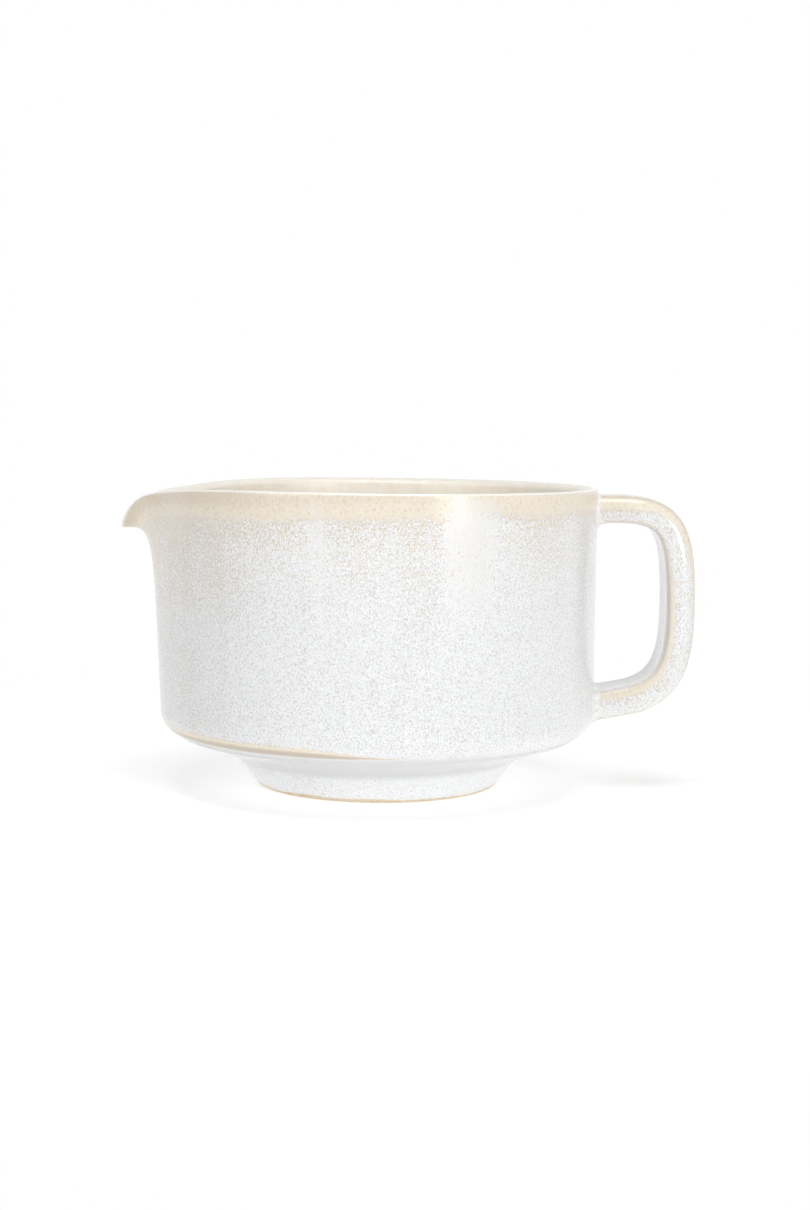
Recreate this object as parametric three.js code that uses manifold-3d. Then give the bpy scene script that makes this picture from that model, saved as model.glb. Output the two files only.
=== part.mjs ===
// Spouted matcha bowl with a strap handle: stoneware clay parts, luted to each other with clay slip.
// Millimetres, +Z up. The spout points along -X, the handle along +X, and the bowl stands on Z = 0.
import * as THREE from "three";
import { mergeVertices } from "three/addons/utils/BufferGeometryUtils.js";
import Module from "manifold-3d";

const wasm = await Module();
wasm.setup();

// Turned bowl
const RIM_HEIGHT = 80;
const WALL_RADIUS = 58.2;
const WALL_THICKNESS = 3.8;
const FLOOR_THICKNESS = 5;
const SHOULDER_RISE = 11.7;
const SHOULDER_RADIUS = 6.1;
const INNER_SHOULDER_RADIUS = 12;

// Foot ring, which tapers in from its neck to the table
const FOOT_RADIUS = 31.9;
const FOOT_HEIGHT = 8.4;
const FOOT_FLARE = 6.7;
const FOOT_NECK_FILLET = 6.8;
const FOOT_FACE_WIDTH = 4.4;
const FOOT_EDGE_RADIUS = 0.6;

// Pouring spout, pulled out and down from the rim opposite the handle
const SPOUT_PROJECTION = 11;
const SPOUT_LIP_DROP = 11.2;
const SPOUT_LIP_ARCH = 1.7;
const SPOUT_LEAN = 2.5;
const SPOUT_BEND_DROP = 13.6;
const SPOUT_ROOT_SPREAD = 19;
const SPOUT_LIP_SPREAD = 12.8;
const SPOUT_DROOP_SPREAD = 7.5;
const SPOUT_WIDE_DROOP_SPREAD = 32.5;
const SPOUT_WIDE_DROOP_SHARE = 0.21;
const SPOUT_BELL_POWER = 2.2;
const SPOUT_LIP_THINNING = 0.38;
const SPOUT_NOTCH_HALF_WIDTH = 18;
const SPOUT_NOTCH_SILL = 7;

// Strap handle
const HANDLE_PROJECTION = 26;
const STRAP_WIDTH = 19;
const STRAP_THICKNESS = 7.8;
const STRAP_EDGE_RADIUS = 2;
const HANDLE_TOP_DROP = 1.8;
const HANDLE_TOP_ARM = 5.3;
const HANDLE_TOP_SWEEP = 13;
const HANDLE_TOP_CORNER = 7.1;
const HANDLE_BOTTOM_DROP = 2;
const HANDLE_BOTTOM_ARM = 7.8;
const HANDLE_BOTTOM_SWEEP = 12;
const HANDLE_BOTTOM_CORNER = 11.6;
const HANDLE_BOTTOM_SLOPE = 10.5;

// Slip joints: a thin layer of slip, with a fillet round each end of the handle
const CLEARANCE = 0.3;
const SLIP_THICKNESS = 0.6;
const TOP_FILLET = 0.6;
const TOP_FILLET_LENGTH = 1.8;
const BOTTOM_FILLET = 1.5;
const BOTTOM_FILLET_LENGTH = 2.4;

// Facets
const TURN_SEGMENTS = 64;
const TURN_BUNCHING = 0.5;
const WALL_STEPS = 10;
const WALL_CROWDING = 1.5;
const ARC_STEPS = 6;
const NECK_STEPS = 2;
const STRAP_STEPS = 36;
const STRAP_EDGE_STEPS = 2;
const FILLET_STEPS = 4;
const NOTCH_STEPS = 10;

const JOINT_THICKNESS = SLIP_THICKNESS + 2 * CLEARANCE;
const MID_WALL = WALL_RADIUS - WALL_THICKNESS / 2;
const SHOULDER_HEIGHT = FOOT_HEIGHT + SHOULDER_RISE;
const SPOUT_REACH = WALL_RADIUS + SPOUT_PROJECTION;
const HANDLE_REACH = WALL_RADIUS + HANDLE_PROJECTION;
const HANDLE_TOP = RIM_HEIGHT - HANDLE_TOP_DROP - STRAP_THICKNESS / 2;
const HANDLE_BOTTOM = SHOULDER_HEIGHT - HANDLE_BOTTOM_DROP + STRAP_THICKNESS / 2;

const glazedClay = new THREE.MeshStandardMaterial({ color: 0xe9e4da, roughness: 0.25, metalness: 0 });
const rimClay = new THREE.MeshStandardMaterial({ color: 0xe6dac2, roughness: 0.25, metalness: 0 });
const slip = new THREE.MeshStandardMaterial({ color: 0xd8c6a5, roughness: 0.6, metalness: 0 });

function point(x, y) {
  return new THREE.Vector2(x, y);
}

function degrees(angle) {
  return THREE.MathUtils.degToRad(angle);
}

// A closed geometry as a solid that can be cut and joined.
function solidOf(geometry) {
  const bare = geometry.clone();
  bare.deleteAttribute("normal");
  bare.deleteAttribute("uv");
  const merged = mergeVertices(bare);
  const index = merged.index.array;
  const triangles = [];
  for (let i = 0; i < index.length; i += 3) {
    const [a, b, c] = [index[i], index[i + 1], index[i + 2]];
    if (a !== b && b !== c && c !== a) triangles.push(a, b, c);
  }
  const vertProperties = merged.attributes.position.array;
  const triVerts = new Uint32Array(triangles);
  return new wasm.Manifold(new wasm.Mesh({ numProp: 3, vertProperties, triVerts }));
}

function meshOf(name, solid, material) {
  const { vertProperties, triVerts } = solid.getMesh();
  const geometry = new THREE.BufferGeometry();
  geometry.setAttribute("position", new THREE.BufferAttribute(vertProperties, 3));
  geometry.setIndex(new THREE.BufferAttribute(triVerts, 1));
  geometry.computeVertexNormals();
  const mesh = new THREE.Mesh(geometry, material);
  mesh.name = name;
  return mesh;
}

// Turns a profile of (radius, height) points about the Z axis.
function turned(profile) {
  return new THREE.LatheGeometry(profile, TURN_SEGMENTS, Math.PI / 2).rotateX(Math.PI / 2);
}

function slab(low, high) {
  const size = 4 * WALL_RADIUS;
  return solidOf(new THREE.BoxGeometry(size, size, high - low).translate(0, 0, (low + high) / 2));
}

function arcPoints(centre, radius, from, to) {
  const points = [];
  for (let i = 0; i <= ARC_STEPS; i++) {
    const angle = from + ((to - from) * i) / ARC_STEPS;
    points.push(point(centre.x + radius * Math.cos(angle), centre.y + radius * Math.sin(angle)));
  }
  return points;
}

// The underside slopes from the foot's neck up to the shoulder, which it touches as a tangent.
const neck = point(FOOT_RADIUS + FOOT_FLARE, FOOT_HEIGHT);
const shoulderCentre = point(WALL_RADIUS - SHOULDER_RADIUS, SHOULDER_HEIGHT);
const toShoulder = shoulderCentre.clone().sub(neck);
const underSlope = toShoulder.angle() - Math.asin(SHOULDER_RADIUS / toShoulder.length());

// A soft hollow corner at the neck joins the underside to the foot's flank. Its middle is the seam.
function neckFillet() {
  const flank = point(FOOT_RADIUS, 0).sub(neck).normalize();
  const under = point(Math.cos(underSlope), Math.sin(underSlope));
  const turn = Math.PI - Math.acos(flank.dot(under));
  const back = FOOT_NECK_FILLET * Math.tan(turn / 2);
  const onFlank = neck.clone().addScaledVector(flank, back);
  const onUnder = neck.clone().addScaledVector(under, back);
  return new THREE.QuadraticBezierCurve(onFlank, neck, onUnder).getPoints(2 * NECK_STEPS);
}

const fillet = neckFillet();
const seam = fillet[NECK_STEPS];

// Points up an upright wall to where the rim's rounding starts, closer together where the spout bends.
function wallPoints(radius, low) {
  const high = RIM_HEIGHT - WALL_THICKNESS / 2;
  const points = [];
  for (let i = 1; i < WALL_STEPS; i++) {
    const share = 1 - (1 - i / WALL_STEPS) ** WALL_CROWDING;
    points.push(point(radius, THREE.MathUtils.lerp(low, high, share)));
  }
  return points;
}

function bowlOutside() {
  const shoulder = arcPoints(shoulderCentre, SHOULDER_RADIUS, underSlope - Math.PI / 2, 0);
  const wall = wallPoints(WALL_RADIUS, SHOULDER_HEIGHT);
  return [point(0, seam.y), ...fillet.slice(NECK_STEPS), ...shoulder, ...wall];
}

function bowlInside() {
  const radius = WALL_RADIUS - WALL_THICKNESS;
  const lift = point(-Math.sin(underSlope), Math.cos(underSlope)).multiplyScalar(FLOOR_THICKNESS);
  const slopeStart = neck.clone().add(lift);
  const centreX = radius - INNER_SHOULDER_RADIUS;
  const slant = (centreX - slopeStart.x) * Math.tan(underSlope);
  const centre = point(centreX, slopeStart.y + slant + INNER_SHOULDER_RADIUS / Math.cos(underSlope));
  const shoulder = arcPoints(centre, INNER_SHOULDER_RADIUS, underSlope - Math.PI / 2, 0);
  return [point(0, slopeStart.y), slopeStart, ...shoulder, ...wallPoints(radius, centre.y)];
}

function rim() {
  const centre = point(MID_WALL, RIM_HEIGHT - WALL_THICKNESS / 2);
  return arcPoints(centre, WALL_THICKNESS / 2, 0, Math.PI);
}

// Middle of the spout's wall on the bowl's centre plane, from the shoulder out to the tip of the lip.
const spoutMidline = new THREE.CubicBezierCurve(
  point(MID_WALL, SHOULDER_HEIGHT),
  point(MID_WALL + SPOUT_LEAN, RIM_HEIGHT - SPOUT_BEND_DROP),
  point(MID_WALL + SPOUT_LEAN, RIM_HEIGHT - SPOUT_LIP_DROP + SPOUT_LIP_ARCH),
  point(SPOUT_REACH, RIM_HEIGHT - SPOUT_LIP_DROP),
);

function bell(angle, spread) {
  return Math.exp(-(Math.abs(angle / degrees(spread)) ** SPOUT_BELL_POWER));
}

// How far out the wall is pulled at an angle from the spout's centre, for a share of the way up the wall.
function pullOut(angle, share) {
  return bell(angle, THREE.MathUtils.lerp(SPOUT_ROOT_SPREAD, SPOUT_LIP_SPREAD, share));
}

// How far down the rim dips: deep at the lip, with a shallow dip that runs further along the rim.
function pullDown(angle) {
  const deep = bell(angle, SPOUT_DROOP_SPREAD);
  const wide = bell(angle, SPOUT_WIDE_DROOP_SPREAD);
  return THREE.MathUtils.lerp(deep, wide, SPOUT_WIDE_DROOP_SHARE);
}

function pulledMidline(angle, share) {
  const straight = THREE.MathUtils.lerp(SHOULDER_HEIGHT, RIM_HEIGHT, share);
  const spout = spoutMidline.getPointAt(THREE.MathUtils.clamp(share, 0, 1));
  const radius = MID_WALL + pullOut(angle, share) * (spout.x - MID_WALL);
  return point(radius, straight + pullDown(angle) * (spout.y - straight));
}

// Moves a point of the plain turned wall to its place on the pulled wall.
function pulledPoint(radius, height, angle) {
  const share = (height - SHOULDER_HEIGHT) / (RIM_HEIGHT - SHOULDER_HEIGHT);
  const span = 0.01;
  const above = pulledMidline(angle, Math.min(share + span, 1));
  const below = pulledMidline(angle, Math.max(share - span, 0));
  const along = above.sub(below).normalize();
  const thinning = 1 - SPOUT_LIP_THINNING * pullOut(angle, share) * share ** 3;
  const offset = (radius - MID_WALL) * thinning;
  return pulledMidline(angle, share).add(point(along.y, -along.x).multiplyScalar(offset));
}

function pullSpout(geometry) {
  const position = geometry.attributes.position;
  for (let i = 0; i < position.count; i++) {
    const radius = Math.hypot(position.getX(i), position.getY(i));
    const height = position.getZ(i);
    const even = Math.atan2(position.getY(i), -position.getX(i));
    const angle = even - TURN_BUNCHING * Math.sin(even);
    const onWall = height > SHOULDER_HEIGHT && radius > MID_WALL - WALL_THICKNESS;
    const place = onWall ? pulledPoint(radius, height, angle) : point(radius, height);
    position.setXYZ(i, -place.x * Math.cos(angle), place.x * Math.sin(angle), place.y);
  }
  return geometry;
}

// U-shaped outline of the notch in the wall that takes the spout, grown by a margin.
function notch(margin) {
  const half = SPOUT_NOTCH_HALF_WIDTH + margin;
  const centre = SHOULDER_HEIGHT + SPOUT_NOTCH_SILL + SPOUT_NOTCH_HALF_WIDTH;
  const top = RIM_HEIGHT + WALL_THICKNESS;
  const outline = new THREE.Shape();
  outline.moveTo(half, top);
  outline.lineTo(-half, top);
  outline.absarc(0, centre, half, Math.PI, 2 * Math.PI, false);
  const inner = (WALL_RADIUS - WALL_THICKNESS) / 2;
  const depth = SPOUT_REACH + WALL_THICKNESS - inner;
  const options = { depth, bevelEnabled: false, curveSegments: NOTCH_STEPS };
  const geometry = new THREE.ExtrudeGeometry(outline, options);
  const across = new THREE.Matrix4().makeBasis(
    new THREE.Vector3(0, 1, 0),
    new THREE.Vector3(0, 0, 1),
    new THREE.Vector3(1, 0, 0),
  );
  return solidOf(geometry.applyMatrix4(across).translate(-inner - depth, 0, 0));
}

function wholeBowl() {
  const inside = bowlInside().reverse();
  return solidOf(pullSpout(turned([...bowlOutside(), ...rim(), ...inside])));
}

// The bowl's outer shape with no hollow and no spout, grown by a margin, to trim the handle against.
function bowlEnvelope(margin) {
  const shoulder = arcPoints(shoulderCentre, SHOULDER_RADIUS + margin, underSlope - Math.PI / 2, 0);
  const top = RIM_HEIGHT + STRAP_THICKNESS;
  const outward = point(Math.sin(underSlope), -Math.cos(underSlope));
  const low = neck.clone().addScaledVector(outward, margin);
  const profile = [point(0, low.y), low, ...shoulder, point(WALL_RADIUS + margin, top), point(0, top)];
  return solidOf(turned(profile));
}

// Foot ring and the slip above it, still in one piece.
function footBlank() {
  const face = FOOT_RADIUS - FOOT_FACE_WIDTH;
  const inner = face - FOOT_EDGE_RADIUS;
  const flank = neck.clone().sub(point(FOOT_RADIUS, 0)).normalize();
  const edge = point(FOOT_RADIUS, 0).addScaledVector(flank, FOOT_EDGE_RADIUS);
  const start = point(inner, FOOT_EDGE_RADIUS);
  const underFace = [point(face, 0), point(FOOT_RADIUS - FOOT_EDGE_RADIUS, 0)];
  const outside = [edge, ...fillet.slice(0, NECK_STEPS + 1)];
  return solidOf(turned([start, ...underFace, ...outside, point(inner, seam.y), start]));
}

function strapSection(margin) {
  const width = STRAP_WIDTH / 2 + margin;
  const half = STRAP_THICKNESS / 2 + margin;
  const radius = STRAP_EDGE_RADIUS + margin;
  const section = new THREE.Shape();
  section.absarc(half - radius, width - radius, radius, 0, Math.PI / 2, false);
  section.absarc(radius - half, width - radius, radius, Math.PI / 2, Math.PI, false);
  section.absarc(radius - half, radius - width, radius, Math.PI, 1.5 * Math.PI, false);
  section.absarc(half - radius, radius - width, radius, 1.5 * Math.PI, 2 * Math.PI, false);
  return section;
}

// Where the strap's middle runs: out along the top arm, down the grip, back along the sloping bottom arm.
function strapPath() {
  const spot = (x, z) => new THREE.Vector3(x, 0, z);
  const gripX = HANDLE_REACH - STRAP_THICKNESS / 2;
  const rootX = WALL_RADIUS - 2 * WALL_THICKNESS;
  const topX = WALL_RADIUS + HANDLE_TOP_ARM;
  const bottomX = WALL_RADIUS + HANDLE_BOTTOM_ARM;
  const slope = Math.tan(degrees(HANDLE_BOTTOM_SLOPE));
  const bottomZ = (x) => HANDLE_BOTTOM + (x - WALL_RADIUS) * slope;
  const topEnd = spot(topX, HANDLE_TOP);
  const grip = spot(gripX, (HANDLE_TOP + HANDLE_BOTTOM) / 2);
  const bottomEnd = spot(bottomX, bottomZ(bottomX));
  const topPull = spot(topX + HANDLE_TOP_SWEEP, HANDLE_TOP);
  const gripTop = spot(gripX, HANDLE_TOP - HANDLE_TOP_CORNER);
  const gripBottom = spot(gripX, HANDLE_BOTTOM + HANDLE_BOTTOM_CORNER);
  const bottomPull = spot(bottomX + HANDLE_BOTTOM_SWEEP, bottomZ(bottomX + HANDLE_BOTTOM_SWEEP));
  const path = new THREE.CurvePath();
  path.add(new THREE.LineCurve3(spot(rootX, HANDLE_TOP), topEnd));
  path.add(new THREE.CubicBezierCurve3(topEnd, topPull, gripTop, grip));
  path.add(new THREE.CubicBezierCurve3(grip, gripBottom, bottomPull, bottomEnd));
  path.add(new THREE.LineCurve3(bottomEnd, spot(rootX, bottomZ(rootX))));
  return path;
}

function strap(margin, envelope) {
  const options = { steps: STRAP_STEPS, extrudePath: strapPath(), curveSegments: STRAP_EDGE_STEPS };
  return solidOf(new THREE.ExtrudeGeometry(strapSection(margin), options)).subtract(envelope);
}

// Slip pad under one end of the strap, flaring out to the wall in a hollow fillet.
function slipPad(height, slope, spread, length) {
  const rings = FILLET_STEPS + 1;
  const options = { depth: rings, bevelEnabled: false, steps: rings, curveSegments: STRAP_EDGE_STEPS };
  const geometry = new THREE.ExtrudeGeometry(strapSection(0), options);
  const position = geometry.attributes.position;
  for (let i = 0; i < position.count; i++) {
    const step = Math.round(position.getZ(i)) - 1;
    const x = step < 0 ? -SHOULDER_RADIUS : (length * step) / FILLET_STEPS;
    const left = 1 - Math.max(x, 0) / length;
    const flare = CLEARANCE + SLIP_THICKNESS / 2 + spread * (1 - Math.sqrt(1 - left ** 2));
    const thick = position.getX(i) * (1 + flare / (STRAP_THICKNESS / 2));
    const wide = position.getY(i) * (1 + flare / (STRAP_WIDTH / 2));
    position.setXYZ(i, WALL_RADIUS + x, wide, height + x * Math.tan(degrees(slope)) - thick);
  }
  return solidOf(geometry);
}

function joinHandle() {
  const topPad = slipPad(HANDLE_TOP, 0, TOP_FILLET, TOP_FILLET_LENGTH);
  const bottomPad = slipPad(HANDLE_BOTTOM, HANDLE_BOTTOM_SLOPE, BOTTOM_FILLET, BOTTOM_FILLET_LENGTH);
  const wall = bowlEnvelope(CLEARANCE);
  const core = strap(CLEARANCE, bowlEnvelope(CLEARANCE + SLIP_THICKNESS));
  const handle = new THREE.Group();
  handle.add(meshOf("handle_strap", strap(0, bowlEnvelope(JOINT_THICKNESS)), glazedClay));
  handle.add(meshOf("handle_top_slip_joint", topPad.subtract(wall).subtract(core), slip));
  handle.add(meshOf("handle_bottom_slip_joint", bottomPad.subtract(wall).subtract(core), slip));
  return handle;
}

function joinBowl() {
  const whole = wholeBowl();
  const seamStrip = notch(CLEARANCE + SLIP_THICKNESS).subtract(notch(CLEARANCE));
  const bowl = new THREE.Group();
  bowl.add(meshOf("bowl_body", whole.subtract(notch(JOINT_THICKNESS)), glazedClay));
  bowl.add(meshOf("pouring_spout", whole.intersect(notch(0)), rimClay));
  bowl.add(meshOf("spout_slip_joint", whole.intersect(seamStrip), slip));
  return bowl;
}

function joinFoot() {
  const blank = footBlank();
  const below = slab(-FOOT_HEIGHT, seam.y - JOINT_THICKNESS);
  const layer = slab(seam.y - CLEARANCE - SLIP_THICKNESS, seam.y - CLEARANCE);
  const foot = new THREE.Group();
  foot.add(meshOf("foot_ring", blank.intersect(below), glazedClay));
  foot.add(meshOf("foot_slip_joint", blank.intersect(layer), slip));
  return foot;
}

// The part's origin is the middle of its footprint, so the bowl's axis stands towards the spout.
const vessel = new THREE.Group();
vessel.position.x = (SPOUT_REACH - HANDLE_REACH) / 2;
vessel.add(joinBowl(), joinFoot(), joinHandle());

const spoutedBowl = new THREE.Group();
spoutedBowl.add(vessel);

export default spoutedBowl;
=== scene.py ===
"""Spouted matcha bowl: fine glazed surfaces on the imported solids, with studio light and a camera."""
import math

import bpy
import numpy as np
from mathutils import Matrix, Vector


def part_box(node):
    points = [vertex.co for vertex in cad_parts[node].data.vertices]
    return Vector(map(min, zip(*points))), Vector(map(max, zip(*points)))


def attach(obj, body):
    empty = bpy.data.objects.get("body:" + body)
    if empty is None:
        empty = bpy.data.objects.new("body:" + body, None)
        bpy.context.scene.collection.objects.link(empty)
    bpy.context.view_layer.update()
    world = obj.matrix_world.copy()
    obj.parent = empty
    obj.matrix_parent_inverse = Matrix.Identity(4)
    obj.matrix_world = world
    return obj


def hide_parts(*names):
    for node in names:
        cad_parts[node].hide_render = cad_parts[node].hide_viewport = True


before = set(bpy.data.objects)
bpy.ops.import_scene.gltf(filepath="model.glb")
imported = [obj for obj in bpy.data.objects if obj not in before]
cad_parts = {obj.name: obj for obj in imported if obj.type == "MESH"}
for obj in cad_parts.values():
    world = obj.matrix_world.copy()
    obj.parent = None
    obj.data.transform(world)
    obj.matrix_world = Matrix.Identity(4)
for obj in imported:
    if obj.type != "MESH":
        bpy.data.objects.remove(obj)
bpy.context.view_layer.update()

MM = 0.001
QUARTER = math.pi / 2

# Shape of the turned bowl and its foot, in millimetres, with the seam between them as a share of the neck's
# curve. The overall sizes come from the frame.
WALL_THICKNESS = 3.8
RIM_OUTER_EDGE = 0.8
RIM_SUPPORT = 0.1
FLOOR_THICKNESS = 5
SHOULDER_RISE = 11.7
SHOULDER_RADIUS = 6.1
INNER_SHOULDER_RADIUS = 12
INNER_FLOOR_BLEND = 12
FOOT_HEIGHT = 8.4
FOOT_FLARE = 6.7
FOOT_NECK_FILLET = 6.8
FOOT_SEAM_SHARE = 0.5
FOOT_FACE_WIDTH = 4.4
FOOT_EDGE_RADIUS = 0.6
FOOT_FACE_LIMIT = 0.06
RIDGE_HEIGHT = 0.4
RIDGE_WIDTH = 0.45
RIDGE_DISTANCE = 1.1

# Shape of the spout, in millimetres, degrees and shares
SPOUT_TRIM = 0.1
SPOUT_LIP_DROP = 11.2
SPOUT_LIP_ARCH = 1.7
SPOUT_LEAN = 2.5
SPOUT_BEND_DROP = 13.6
SPOUT_ROOT_SPREAD = 19
SPOUT_LIP_SPREAD = 12.8
SPOUT_DROOP_SPREAD = 7.5
SPOUT_WIDE_DROOP_SPREAD = 32.5
SPOUT_WIDE_DROOP_SHARE = 0.21
SPOUT_BELL_POWER = 2.2
SPOUT_LIP_THINNING = 0.38
SPOUT_THINNING_POWER = 3

# Shape of the strap handle, in millimetres, degrees and shares of its length or thickness
STRAP_THICKNESS = 7.8
STRAP_TOP_THICKNESS = 7.2
STRAP_TAPER = (0.08, 0.38)
STRAP_OUTER_EDGE = (3.8, 3.2)
STRAP_INNER_EDGE = (1.6, 1.6)
STRAP_CROWN = 0.03
HANDLE_TOP_ARM = 5.3
HANDLE_TOP_SWEEP = 14.5
HANDLE_TOP_CORNER = 5.6
HANDLE_BOTTOM_RISE = 1.9
HANDLE_BOTTOM_ARM = 7.8
HANDLE_BOTTOM_SWEEP = 12
HANDLE_BOTTOM_CORNER = 11.6
HANDLE_BOTTOM_SLOPE = 10.5
STRAP_SINK = 2

# Slip fillets at the handle's ends, in millimetres: length along the strap and spread on the wall,
# first round the strap and then on the side of the finger gap. The lip's sink is a share of the lip, and
# the lowest place on the shoulder a share of its radius.
TOP_FILLET = ((0.7, 0.7), (2.4, 2.6))
BOTTOM_FILLET = ((1.7, 1.9), (1.5, 1.2))
FILLET_GAP_SIDE = (0.3, 1)
FILLET_LIP = 0.25
FILLET_LIP_SINK = 0.4
FILLET_SINK = 1.2
FILLET_LOWEST = 0.98

# Glaze round the rim: a beige band of thin glaze with its tails, a painted highlight line along the rim's
# crest and the lining's start. Depths are millimetres from the rim, and a gain is an amount with the turns,
# in degrees from the front, between which it comes in.
RIM_BAND = 4
RIM_BAND_GAIN = (1.5, 10, -40)
RIM_BAND_FADE = (-2.5, 5.5)
RIM_EDGE = 0.05
RIM_EDGE_GAINS = ((0.15, 32, 8), (0.08, -10, -55))
RIM_EDGE_DEPTHS = (5, 10)
LONG_TAIL = 0.08
LONG_TAIL_GAIN = (0.12, -15, -55)
LONG_TAIL_DEPTHS = (8, 40)
SHORT_TAIL = 0.06
SHORT_TAIL_GAIN = (0.1, 30, -10)
SHORT_TAIL_DEPTHS = (6, 16)
SPOUT_SIDE_GAIN = (0.12, -25, -60)
RIM_HIGHLIGHT = 0.9
LINING_DEPTHS = (0.2, 1.6)

# Beige band on the shoulder, whose deepest part is also painted shade, in shares of the shoulder's fall and
# of the band's half width
SHOULDER_MARGIN = 1
SHOULDER_BAND_PLACE = 0.62
SHOULDER_BAND_SLIP = (0.16, -20, 9)
SHOULDER_BAND_HALF = 0.22
SHOULDER_BAND_TURNS = (-18, 9)
SHOULDER_BAND_RISE = (-1.5, -0.3)
SHOULDER_BAND_DEEPER_AND_SHADE = 0.6
SHOULDER_BAND_DEEP_AND_SHADE_RISE = (-0.9, 0.5)
SHOULDER_BAND_EDGE = (0.9, 1.15)
OFF_SHOULDER = -9
LEAST_HALF = 1e-4
SEEN_HALF = 0.01

# Two milky runs of thick glaze, the stronger one also a painted reflection, and painted grey shade under the
# shoulder and in the neck, in depths, turns and amounts
STRONG_RUN_AND_SHEEN = 0.75
STRONG_RUN_AND_SHEEN_START = (16, 20)
STRONG_RUN_AND_SHEEN_END = (26, 34)
WEAK_RUN = 0.4
WEAK_RUN_TURN = -13.5
WEAK_RUN_SPREAD = 2.5
RUN_TOP = (0.5, 2)
RUN_BOTTOM = (8, 44)
NECK_SHADE = 0.9
NECK_SHADE_FADE = 2

# Glaze on the foot, in millimetres above the floor. A wave has a height, a count round the foot and a turn.
FOOT_GLAZE_LINE = 0.95
FOOT_GLAZE_WAVES = ((0.2, 3, 1), (0.1, 11, 0))
FOOT_GLAZE_BLUR = 0.1
FOOT_THICK = 0.1

# Glaze on the strap, with painted shade along the grip's inner edge, in shares of its length, millimetres
# from its faces and sides, and amounts
ARM_SHARES = (0.12, 0.26, 0.36, 0.48)
ARM_WIDTHS = (4.2, 2.6, 1.3, 0.5)
ARM_FADE = (0.4, 1.3)
FACE_COVER = 0.75
FACE_COVER_SIDE = (2, 4.5)
FACE_COVER_SHARES = (0.2, 0.45)
ARM_DEEPER = 0.3
ARM_DEEP_FACE = (1.6, 0.4)
ARM_DEEP_SHARES = (0.45, 0.25)
STRIPE_SHARES = (0, 0.3, 0.5, 0.75, 0.9)
STRIPE_WIDTHS = (0.8, 0.8, 2.8, 3.2, 3.8)
STRIPE_FADE = (0.1, 1.1)
STRIPE_SIDE = (0.7, 1.2)
INNER_FACE_THICK = 0.3
INNER_FACE_SIDE = (1, 1.6)
INNER_FACE_DEPTH = (0.2, 0.5)
GRIP_SHARES = (0.85, 0.65)
GRIP_DEEPER_AND_SHADE = 0.6
GRIP_SHADE = 0.45
STRAP_DEPTH = 20

# Thin and thick amounts of the glaze on the slip fillets
TOP_JOINT_GLAZE = (0.2, 0.8)
BOTTOM_JOINT_GLAZE = (0.1, 0.2)

# Patterns in the glaze, in cells per metre, with the stretch of the upright ones, the share of cells that
# have a pinhole, and the detail and roughness of the rough noises
GRAIN_STRETCH = (1, 1, 0.7)
GRAIN_SCALE = 3000
FINE_SCALE = 5000
MOTTLE_SCALE = 1500
RUN_STRETCH = (1, 1, 0.06)
RUN_SCALE = 200
CLOUD_SCALE = 60
DOT_SCALE = 1300
LINING_SCALE = 260
CLAY_SCALE = 900
PEEL_SCALE = 320
PINHOLE_SCALE = 105
PINHOLE_SHARE = 0.14
ROUGH_NOISE = (3, 0.6)

# How the patterns work: where a value starts and ends to count and, where four numbers are given, what it
# then starts and ends with
NOISE_MIDDLE = 0.5
RUN_PLAY = 0.5
CLOUD_PLAY = 0.25
STIPPLE_PLAY = 1.6
STIPPLE_THINNESS = (0.05, 0.4)
THICK_MENDS = -0.4
FLECK_LEVEL = 0.54
FLECK_LEVEL_BROKEN = -0.26
FLECK_LEVEL_THICK = 0.08
FLECK_EDGE = (-0.06, 0.08)
COOL_DEPTHS = (6, 36)
WARM_THINNESS = (0.02, 0.25)
FLECK_BREAK = (0.25, 0.75)
MILK_BREAK = (0.2, 0.8)
MILK_GRAIN = (0.38, 0.62)
TAN_MOTTLE = (0.45, 0.7, 0, 0.8)
TAN_THINNESS = (1, 1.5)
BISCUIT_AND_SHADE_THINNESS = (1.2, 1.6)
BAND_BREAK = (0.65, 1)
VEIL_AND_SHEEN_COVER = (0, 1, 0, 0.8)
DOT_EDGE = (0.68, 0.76, 0, 0.6)
RIM_HIGHLIGHT_FADE = (0.5 * RIM_HIGHLIGHT, 1.3 * RIM_HIGHLIGHT, 1, 0)
LINING_MOTTLE = (0.42, 0.68)
CLAY_GRAIN = (0.35, 0.7)
PINHOLE_EDGE = (0.018, 0.036, 0.7, 0)

# Gloss and relief of the glaze. The bump's distance is in metres.
MILK_ROUGHNESS = 0.13
FLECK_ROUGHNESS = 0.1
LINING_ROUGHNESS = 0.32
CLAY_ROUGHNESS = 0.75
GLAZE_IOR = 1.5
PEEL_HEIGHT = 1.5
GRAIN_HEIGHT = 0.6
BUMP_STRENGTH = 0.25
BUMP_DISTANCE = 0.0001

# Camera, in millimetres from the bowl's axis, degrees, and pixels of an image of this height
IMAGE_HEIGHT = 1210
CAMERA_PLACE = (13.96, -525.31, 99.38)
CAMERA_YAW = -0.74
CAMERA_PITCH = 5.61
CAMERA_ROLL = 0.7
CAMERA_FOCAL = 1962.6
CAMERA_NEAR = 10
SENSOR = 36

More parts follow.
